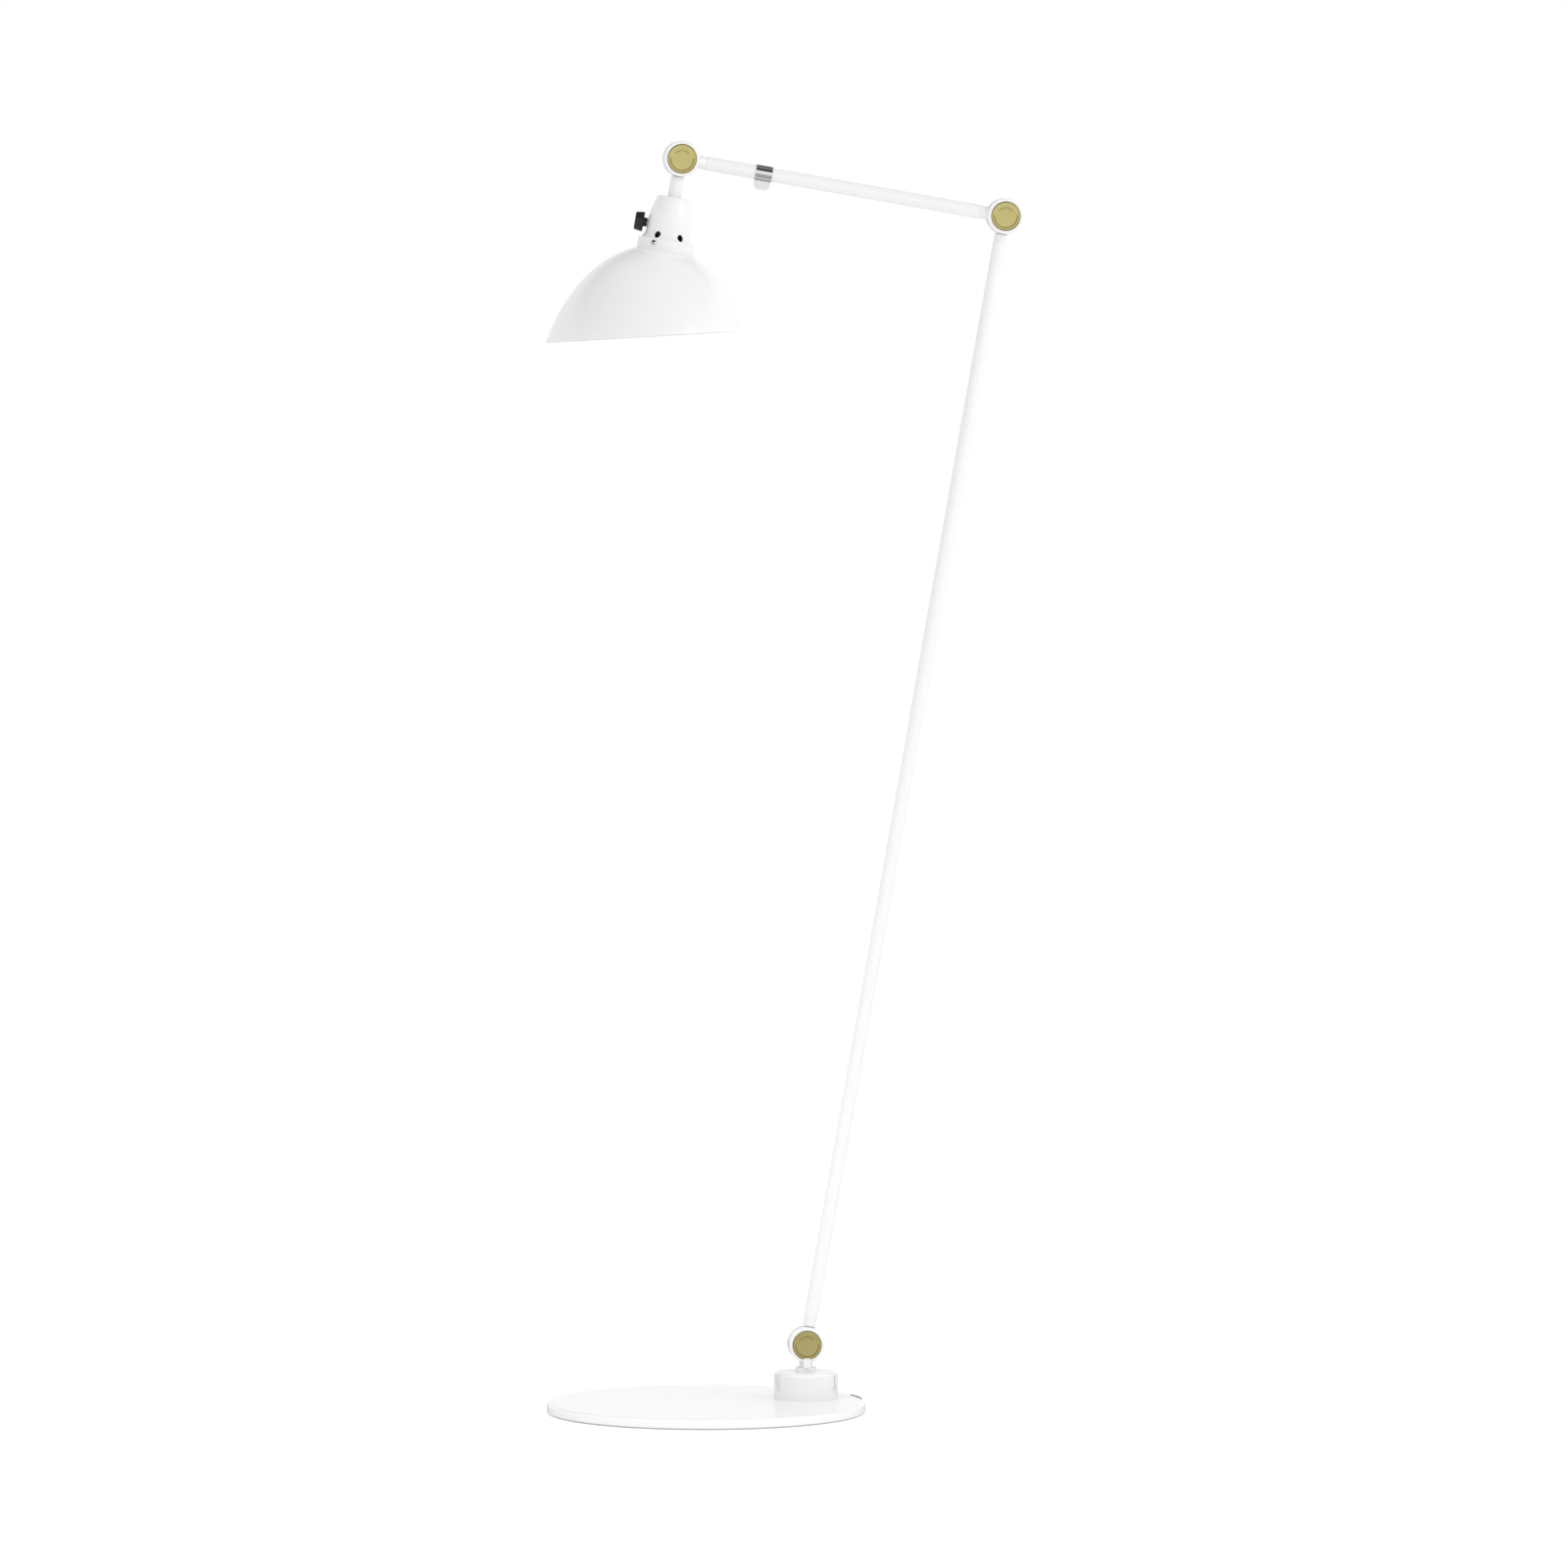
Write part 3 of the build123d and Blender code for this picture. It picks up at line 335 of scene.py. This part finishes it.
# ---- materials --------------------------------------------------------------
class Paint:
    """A material's node tree, with short calls for the nodes that are used here."""

    def __init__(self, name):
        self.material = bpy.data.materials.new(name)
        self.material.use_nodes = True
        self.tree = self.material.node_tree
        self.shader = self.tree.nodes["Principled BSDF"]
        self.place = self.add("ShaderNodeTexCoord").outputs["Object"]

    def add(self, kind, **settings):
        return add(self.tree, kind, **settings)

    def link(self, source, target):
        self.tree.links.new(source, target)

    def noise(self, scale, detail=2.0):
        node = self.add("ShaderNodeTexNoise")
        node.inputs["Scale"].default_value = scale
        node.inputs["Detail"].default_value = detail
        self.link(self.place, node.inputs["Vector"])
        return node.outputs["Fac"]

    def rings(self, scale):
        """Turned rings about the piece's own Z."""
        node = self.add("ShaderNodeTexWave", wave_type="RINGS", rings_direction="Z")
        node.inputs["Scale"].default_value = scale
        self.link(self.place, node.inputs["Vector"])
        return node.outputs["Fac"]

    def spread(self, value, low, high, from_low=0.2, from_high=0.8):
        node = self.add("ShaderNodeMapRange", interpolation_type="SMOOTHSTEP")
        node.inputs["From Min"].default_value = from_low
        node.inputs["From Max"].default_value = from_high
        node.inputs["To Min"].default_value = low
        node.inputs["To Max"].default_value = high
        self.link(value, node.inputs["Value"])
        return node.outputs["Result"]

    def math(self, operation, first, second):
        node = self.add("ShaderNodeMath", operation=operation)
        for source, socket in ((first, node.inputs[0]), (second, node.inputs[1])):
            if isinstance(source, float):
                socket.default_value = source
            else:
                self.link(source, socket)
        return node.outputs["Value"]

    def blend(self, value, low, high):
        node = self.add("ShaderNodeMix", data_type="RGBA")
        for colour, socket in ((low, node.inputs["A"]), (high, node.inputs["B"])):
            if isinstance(colour, tuple):
                socket.default_value = (*colour, 1)
            else:
                self.link(colour, socket)
        self.link(value, node.inputs["Factor"])
        return node.outputs["Result"]

    def bump(self, height, distance):
        node = self.add("ShaderNodeBump")
        node.inputs["Distance"].default_value = distance
        self.link(height, node.inputs["Height"])
        self.link(node.outputs["Normal"], self.shader.inputs["Normal"])

    def set(self, **values):
        for name, value in values.items():
            self.shader.inputs[name.replace("_", " ").title()].default_value = value

    def drift(self, colour, vary):
        """A colour that darkens a little, here and there."""
        darker = tuple(channel * (1 - vary) for channel in colour)
        return self.blend(self.spread(self.noise(14.0, detail=3.0), 0, 1), darker, colour)


def material(name, colour, roughness=0.5, metallic=0.0, vary=0.03, grain=900.0, depth=0.02, rough_vary=0.05):
    """A base material: colour and roughness that may drift a little, and a fine surface grain."""
    paint = Paint(name)
    paint.link(paint.drift(colour, vary), paint.shader.inputs["Base Color"])
    low, high = max(roughness - rough_vary, 0.02), min(roughness + rough_vary, 1.0)
    paint.link(paint.spread(paint.noise(60.0), low, high), paint.shader.inputs["Roughness"])
    paint.set(metallic=metallic)
    paint.bump(paint.noise(grain, detail=1.0), depth * MM)
    return paint.material


def cap_brass():
    """Turned brass: fine rings, patina and painted shade in the groove, and painted shade on the marks' tops and
    round the rim.
    """
    paint = Paint("brass")
    parts = paint.add("ShaderNodeSeparateXYZ")
    paint.link(paint.place, parts.inputs["Vector"])
    flat = paint.add("ShaderNodeVectorMath", operation="MULTIPLY")
    flat.inputs[1].default_value = (1, 1, 0)
    paint.link(paint.place, flat.inputs[0])
    size = paint.add("ShaderNodeVectorMath", operation="LENGTH")
    paint.link(flat.outputs["Vector"], size.inputs[0])
    radius = size.outputs["Value"]
    # painted shade: darkens the cap's rim, round its edge where it meets the ring
    rim = paint.spread(radius, 0, RIM_PAINTED_SHADE, (CAP_RADIUS - 1.0) * MM, (CAP_RADIUS - 0.45) * MM)
    # patina and painted shade: darkens the groove and a little round it, on the lower half where the groove is
    away = paint.math("ABSOLUTE", paint.math("SUBTRACT", radius, GROOVE_RADIUS * MM), 0.0)
    near, far = GROOVE_SHADE_REACH
    ring = paint.spread(away, GROOVE_PATINA_AND_SHADE, 0, near * MM, far * MM)
    below = paint.spread(parts.outputs["Y"], 1, 0, 0.0, 1.6 * MM)
    # painted shade: darkens the tops of the raised marks inside the groove
    raised = paint.spread(parts.outputs["Z"], 0, MARK_PAINTED_SHADE, (CAP_FACE + 0.01) * MM, (CAP_FACE + 0.05) * MM)
    inside = paint.spread(radius, 1, 0, (GROOVE_RADIUS - 1.0) * MM, (GROOVE_RADIUS - 0.6) * MM)
    painted_mark_shade = paint.math("MULTIPLY", raised, inside)
    # the painted shade and the groove's patina together, blended over the clean brass
    shade_and_patina = paint.math("MAXIMUM", paint.math("MAXIMUM", rim, paint.math("MULTIPLY", ring, below)), painted_mark_shade)
    clean = paint.drift(BRASS, 0.06)
    paint.link(paint.blend(shade_and_patina, clean, BRASS_SHADE_AND_PATINA), paint.shader.inputs["Base Color"])
    paint.link(paint.spread(paint.noise(90.0), *BRASS_ROUGHNESS), paint.shader.inputs["Roughness"])
    paint.set(metallic=1.0)
    paint.bump(paint.rings(TURNED_RINGS), 0.004 * MM)
    return paint.material


def make_materials():
    return {
        "white_paint": material(
            "white_paint", (0.79, 0.79, 0.795), 0.24, vary=0.0, grain=350.0, depth=0.003, rough_vary=0.005
        ),
        "brass": cap_brass(),
        "contact_brass": material("contact_brass", (0.60, 0.49, 0.22), 0.3, metallic=1.0),
        "steel": material("steel", (0.55, 0.56, 0.57), 0.35, metallic=1.0, grain=2500.0),
        "chrome": material("chrome", (0.78, 0.78, 0.79), 0.09, metallic=1.0, rough_vary=0.03, depth=0.002),
        "black_plastic": material("black_plastic", (0.012, 0.012, 0.013), 0.38, vary=0.2, grain=2000.0),
        "nylon": material("nylon", (0.80, 0.80, 0.80), 0.45, vary=0.0),
        "pad": material("pad", (0.80, 0.80, 0.795), 0.6, vary=0.0, depth=0.01),
        "rubber": material("rubber", (0.010, 0.010, 0.010), 0.7, vary=0.2, grain=1500.0, depth=0.05),
        "cable": material("cable", (0.05, 0.05, 0.05), 0.5, vary=0.1),
        "lining": material("lining", (0.22, 0.15, 0.10), 0.8, vary=0.3, grain=3000.0, depth=0.05),
        "bulb_glass": material("bulb_glass", (0.90, 0.90, 0.88), 0.2, vary=0.01, depth=0.004),
    }


def paint_nodes():
    for part in frame["record"]["subparts"]:
        for place in nodes[part["node"]].material_slots:
            place.material = finishes[part["material_slot"]]


# ---- pieces -----------------------------------------------------------------
def frame_on(origin, ahead, right):
    """A matrix in metres, at origin, with +Z along ahead and +X near right."""
    z = Vector(ahead).normalized()
    x = (Vector(right) - z * Vector(right).dot(z)).normalized()
    turn = Matrix((x, z.cross(x), z)).transposed().to_4x4()
    return Matrix.Translation(Vector(origin)) @ turn


def lathe(shape, outline, segments=96, bend=None):
    """Spins an outline of (radius, height) in millimetres about Z; bend moves a point for its angle."""
    before = None
    for radius, height in outline:
        ring = []
        for number in range(segments if radius > 0 else 1):
            angle = 2 * math.pi * number / segments
            r, z = bend(radius, height, angle) if bend else (radius, height)
            ring.append(shape.verts.new((r * MM * math.cos(angle), r * MM * math.sin(angle), z * MM)))
        if before:
            for number in range(segments):
                after = (number + 1) % segments
                corners = [before[number % len(before)], before[after % len(before)]]
                corners += [ring[after % len(ring)], ring[number % len(ring)]]
                shape.faces.new(dict.fromkeys(corners))
        before = ring


def block(shape, corners_low, corners_high):
    """A solid between two rings of corners, low and high, in millimetres."""
    low = [shape.verts.new(Vector(c) * MM) for c in corners_low]
    high = [shape.verts.new(Vector(c) * MM) for c in corners_high]
    shape.faces.new(low[::-1])
    shape.faces.new(high)
    for number in range(len(low)):
        after = (number + 1) % len(low)
        shape.faces.new((low[number], low[after], high[after], high[number]))


def rectangle(left, right, low, high):
    """The corners of a rectangle, in order."""
    return [(left, low), (right, low), (right, high), (left, high)]


def piece(name, shape, place, body, slot, *replaced, sharp=35):
    """Finishes a mesh as a piece that rides on a body in place of CAD nodes."""
    bmesh.ops.recalc_face_normals(shape, faces=shape.faces)
    mesh = bpy.data.meshes.new(name)
    shape.to_mesh(mesh)
    shape.free()
    for face in mesh.polygons:
        face.use_smooth = True
    mesh.set_sharp_from_angle(angle=math.radians(sharp))
    mesh.materials.append(finishes[slot])
    made = bpy.data.objects.new(name, mesh)
    made.matrix_world = place
    bpy.context.collection.objects.link(made)
    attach(made, body)
    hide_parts(*replaced)
    return made


def groove_share(angle):
    """How deep the groove is at an angle: full round the lower half, none round the marks."""
    below = -math.sin(angle)
    return min(max((below + 0.12) / 0.1, 0.0), 1.0)


def cap_mark(shape, number):
    """One plain raised mark on a cap; their widths and lengths alternate."""
    turn = math.radians(MARK_FIRST + number * MARK_STEP)
    out = Vector((math.cos(turn), math.sin(turn), 0))
    across = Vector((-math.sin(turn), math.cos(turn), 0)) * MARK_HALF_WIDTHS[number % 2]
    inner = MARK_INNER + (MARK_CUTS[0] if number % 3 == 1 else 0)
    outer = MARK_OUTER - (MARK_CUTS[1] if number % 4 == 2 else 0)
    ring = [out * inner - across, out * outer - across, out * outer + across, out * inner + across]
    low = [point + Vector((0, 0, CAP_FACE - MARK_SINK)) for point in ring]
    high = [point * MARK_TAPER + Vector((0, 0, CAP_FACE + MARK_RISE)) for point in ring]
    block(shape, low, high)


def brass_cap(name, node, joint, body):
    """A coin-shaped cap: rim, recessed face, a groove round its lower half and an arc of marks."""
    def sink(radius, height, angle):
        if abs(radius - GROOVE_RADIUS) < GROOVE_FLOOR_WIDTH:
            height -= GROOVE_DEPTH * groove_share(angle)
        return radius, height

    shape = bmesh.new()
    side = [(CAP_RADIUS, CAP_SEAT), (CAP_RADIUS, CAP_TOP - 0.45), (CAP_RADIUS - 0.12, CAP_TOP - 0.18)]
    rim = [(CAP_RADIUS - 0.4, CAP_TOP), (CAP_RADIUS - 0.9, CAP_TOP), (CAP_RADIUS - 1.1, CAP_FACE)]
    steps = (GROOVE_WIDTH / 2, GROOVE_FLOOR_WIDTH / 2, -GROOVE_FLOOR_WIDTH / 2, -GROOVE_WIDTH / 2)
    groove = [(GROOVE_RADIUS + step, CAP_FACE) for step in steps]
    lathe(shape, side + rim + groove + [(CAP_BLEND, CAP_FACE), (0, CAP_FACE)], CAP_SEGMENTS, sink)
    for number in range(MARK_COUNT):
        cap_mark(shape, number)
    place = frame_on(joints[joint]["pos_m"], (0, -1, 0), (1, 0, 0))
    piece(name, shape, place, body, "brass", node)


def knob():
    """A fluted knob on a stem, with a dished face and a pointer line."""
    def flute(radius, height, angle):
        if KNOB_START + 0.8 < height < KNOB_END - 0.2 and radius > FLUTE_FROM:
            radius -= FLUTE_DEPTH * (0.5 + 0.5 * math.cos(FLUTE_COUNT * angle)) ** 3
        return radius, height

    shape = bmesh.new()
    neck = KNOB_STEM_RADIUS
    stem = [(3.2, KNOB_STEM_START), (neck, KNOB_STEM_START), (neck, KNOB_START - 0.5), (4.3, KNOB_START)]
    back = [(7.9, KNOB_START), (8.45, KNOB_START + 0.2), (8.6, KNOB_START + 0.7), (8.55, KNOB_START + 1.1)]
    grip = [(8.2, KNOB_START + 4), (7.75, KNOB_END - 0.9), (7.6, KNOB_END - 0.5), (7.45, KNOB_END - 0.15)]
    dish = [(7.1, KNOB_END), (6.5, KNOB_END), (6.2, KNOB_END - 0.35)]
    dish += [(3.0, KNOB_END - 0.5), (0, KNOB_END - 0.5)]
    lathe(shape, stem + back + grip + dish, KNOB_SEGMENTS, flute)
    near, far = POINTER_ENDS
    line = rectangle(near, far, -POINTER_HALF_WIDTH, POINTER_HALF_WIDTH)
    block(shape, [(x, y, KNOB_END - 0.8) for x, y in line], [(x, y, KNOB_END - 0.1) for x, y in line])
    switch = joints["switch_turn"]
    place = frame_on(switch["pos_m"], switch["axis"], joints["head_turn"]["axis"])
    piece("fluted_knob", shape, place, "switch", "black_plastic", "switch_knob")


def collar_screws():
    """Two slotted round-headed screws in the collar."""
    dome = (SCREW_HEAD ** 2 + SCREW_DOME ** 2) / (2 * SCREW_DOME)
    first = math.asin((dome - SCREW_DOME) / dome)
    outline = [(SCREW_SHANK, -SCREW_LENGTH), (SCREW_SHANK, 0.0), (SCREW_HEAD, 0.0)]
    for step in range(DOME_STEPS):
        angle = first + (math.pi / 2 - first) * step / DOME_STEPS
        outline.append((dome * math.cos(angle), SCREW_DOME - dome + dome * math.sin(angle)))
    outline.append((0, SCREW_DOME))
    for number, azimuth in enumerate(COLLAR_SCREW_AZIMUTHS):
        shape = bmesh.new()
        lathe(shape, outline, SCREW_SEGMENTS)
        turn = Matrix.Rotation(math.radians(azimuth), 4, "Z")
        seat = Matrix.Translation((COLLAR_RADIUS * MM, 0, COLLAR_SCREW_AT * MM))
        place = head_place @ turn @ seat @ Matrix.Rotation(math.pi / 2, 4, "Y")
        made = piece(f"collar_screw_{number + 1}", shape, place, "head", "chrome", "collar_screws")
        cut_slot(made)


def cut_slot(screw):
    """Cuts the driver's slot across a screw's head."""
    shape = bmesh.new()
    line = rectangle(-DRIVER_HALF_WIDTH, DRIVER_HALF_WIDTH, -DRIVER_REACH, DRIVER_REACH)
    low = [(x, y, SCREW_DOME - DRIVER_DEPTH) for x, y in line]
    block(shape, low, [(x, y, SCREW_DOME + 1) for x, y in line])
    mesh = bpy.data.meshes.new("slot_cutter")
    shape.to_mesh(mesh)
    shape.free()
    cutter = bpy.data.objects.new("slot_cutter", mesh)
    cutter.matrix_world = screw.matrix_world @ Matrix.Rotation(math.radians(DRIVER_TURN), 4, "Z")
    bpy.context.collection.objects.link(cutter)
    carve = screw.modifiers.new("slot", "BOOLEAN")
    carve.operation = "DIFFERENCE"
    carve.solver = "EXACT"
    carve.object = cutter
    bpy.context.view_layer.update()
    carved = bpy.data.meshes.new_from_object(screw.evaluated_get(bpy.context.evaluated_depsgraph_get()))
    screw.modifiers.clear()
    screw.data = carved
    bpy.data.objects.remove(cutter)


def lampholder():
    """A holder threaded outside for its ring, with a plain mouth."""
    root = HOLDER_RADIUS - HOLDER_THREAD
    outline = [(HOLDER_RADIUS - 0.6, HOLDER_START), (HOLDER_RADIUS, HOLDER_START + 0.6)]
    height = HOLDER_START + HOLDER_PLAIN
    outline.append((HOLDER_RADIUS, height))
    while height < HOLDER_END - HOLDER_MOUTH:
        outline += [(root, height + 0.5), (root, height + 0.9), (HOLDER_RADIUS, height + 1.4)]
        height += HOLDER_PITCH
    outline += [(HOLDER_RADIUS - 0.1, HOLDER_END - 0.8), (HOLDER_RADIUS - 0.6, HOLDER_END)]
    outline += [(HOLDER_BORE + 0.5, HOLDER_END), (HOLDER_BORE, HOLDER_END - 0.5)]
    outline += [(HOLDER_BORE, HOLDER_START + HOLDER_FLOOR), (0, HOLDER_START + HOLDER_FLOOR)]
    shape = bmesh.new()
    lathe(shape, outline)
    piece("threaded_lampholder", shape, head_place, "head", "black_plastic", "lampholder")


def shade_ring():
    """The ring nut under the shade, lobed for the fingers."""
    def lobe(radius, height, angle):
        if radius > LOBE_FROM:
            radius -= LOBE_DEPTH * (0.5 + 0.5 * math.cos(LOBE_COUNT * angle)) ** 2
        return radius, height

    lower = [(RING_BORE, RING_START), (19.8, RING_START), (20.7, RING_START + 0.4)]
    grip = [(RING_RADIUS, RING_START + 1.2), (RING_RADIUS, RING_END - 1.4)]
    upper = [(20.5, RING_END - 0.4), (19.8, RING_END), (RING_BORE + 0.5, RING_END)]
    inside = [(RING_BORE, RING_END - 0.4), (RING_BORE, RING_START)]
    shape = bmesh.new()
    lathe(shape, lower + grip + upper + inside, RING_SEGMENTS, lobe)
    piece("lobed_shade_ring", shape, head_place, "head", "black_plastic", "shade_ring")


def bulb_cap():
    """The bulb's screw cap with its contact."""
    def thread(radius, height, angle):
        if BULB_THREAD_FROM < radius and BULB_START + 5 < height < BULB_CAP_END - 3:
            turns = height / BULB_PITCH - angle / (2 * math.pi)
            radius -= BULB_THREAD * (0.5 + 0.5 * math.cos(2 * math.pi * turns))
        return radius, height

    outline = [(0, BULB_START), (3.6, BULB_START), (4.4, BULB_START + 0.6)]
    outline += [(8.0, BULB_START + 2.2), (12.2, BULB_START + 3.4)]
    height = BULB_START + 4.0
    while height < BULB_CAP_END - BULB_THREAD_STEP:
        outline.append((BULB_CAP_RADIUS, height))
        height += BULB_THREAD_STEP
    outline += [(BULB_CAP_RADIUS, BULB_CAP_END), (11.6, BULB_CAP_END)]
    shape = bmesh.new()
    lathe(shape, outline, bend=thread)
    piece("threaded_bulb_cap", shape, head_place, "head", "chrome", "bulb_cap", sharp=60)


def bulb_globe():
    """The opal globe and its short neck."""
    centre = BULB_END - BULB_RADIUS
    outline = [(11.4, BULB_CAP_END), (11.5, BULB_CAP_END + 0.6), (12.2, BULB_CAP_END + 3.0)]
    first = math.radians(GLOBE_FIRST)
    for step in range(GLOBE_STEPS):
        angle = first + (math.pi / 2 - first) * step / GLOBE_STEPS
        outline.append((BULB_RADIUS * math.cos(angle), centre + BULB_RADIUS * math.sin(angle)))
    outline.append((0, BULB_END))
    shape = bmesh.new()
    lathe(shape, outline)
    piece("opal_globe", shape, head_place, "head", "bulb_glass", "bulb_glass", sharp=60)


def clip_half_width(past):
    """Half the clip's width at a distance from the tongue's rounded tip."""
    half = CLIP_WIDTH / 2
    if past >= CLIP_ROUND:
        return half
    return half - CLIP_ROUND + math.sqrt(CLIP_ROUND ** 2 - (CLIP_ROUND - past) ** 2)


def clip_leaf(side):
    """One leaf of the tongue: its inner and outer line, and the distance from the tip."""
    inner = TUBE_RADIUS + CLIP_PLAY
    tip = TUBE_RADIUS + CLIP_TONGUE
    for step in range(LEAF_STEPS + 1):
        along = (step / LEAF_STEPS) ** LEAF_CROWDING
        depth = tip - LEAF_GAP - (tip - inner - LEAF_ROOT) * along
        yield depth, side * LEAF_GAP, depth, side * CLIP_SHEET, tip - depth


def clip_band():
    """The band round the tube, in the same terms."""
    inner = TUBE_RADIUS + CLIP_PLAY
    outer = inner + CLIP_SHEET
    gap = math.degrees(math.asin(CLIP_SHEET / outer))
    for step in range(BAND_STEPS + 1):
        angle = math.radians(gap + (360 - 2 * gap) * step / BAND_STEPS)
        cos, sin = math.cos(angle), math.sin(angle)
        yield inner * cos, inner * sin, outer * cos, outer * sin, CLIP_ROUND


def clip():
    """One polished strip: up one leaf of the tongue, round the tube and down the other."""
    shape = bmesh.new()
    before = None
    strip = list(clip_leaf(1)) + list(clip_band()) + list(clip_leaf(-1))[::-1]
    for inner_x, inner_y, outer_x, outer_y, past in strip:
        half = clip_half_width(past)
        ring = [(-inner_x, inner_y, -half), (-outer_x, outer_y, -half)]
        ring += [(-outer_x, outer_y, half), (-inner_x, inner_y, half)]
        ring = [shape.verts.new(Vector(corner) * MM) for corner in ring]
        if before:
            for number in range(4):
                after = (number + 1) % 4
                shape.faces.new((before[number], before[after], ring[after], ring[number]))
        else:
            shape.faces.new(ring)
        before = ring
    shape.faces.new(before[::-1])
    start, end = Vector(joints["elbow"]["pos_m"]), Vector(joints["head_tilt"]["pos_m"])
    along = (end - start).normalized()
    up = Vector((0, 1, 0)).cross(along)
    place = frame_on(start + along * CLIP_ALONG * MM, along, up)
    piece("formed_clip", shape, place, "upper_arm", "chrome", "arm_clip")


# ---- the scene --------------------------------------------------------------
head_turn = joints["head_turn"]
head_place = frame_on(head_turn["pos_m"], head_turn["axis"], joints["switch_turn"]["axis"])
finishes = make_materials()
make_camera()
make_world()
make_floor()
softbox("key", **KEY_LIGHT)
softbox("base", **BASE_LIGHT)
paint_nodes()
brass_cap("base_joint_coin", "base_joint_brass_cap", "base_tilt", "turret")
brass_cap("elbow_coin", "elbow_brass_cap", "elbow", "upper_arm")
brass_cap("head_joint_coin", "head_joint_brass_cap", "head_tilt", "upper_arm")
knob()
collar_screws()
lampholder()
shade_ring()
bulb_cap()
bulb_globe()
clip()
bpy.context.scene.view_settings.view_transform = "Standard"
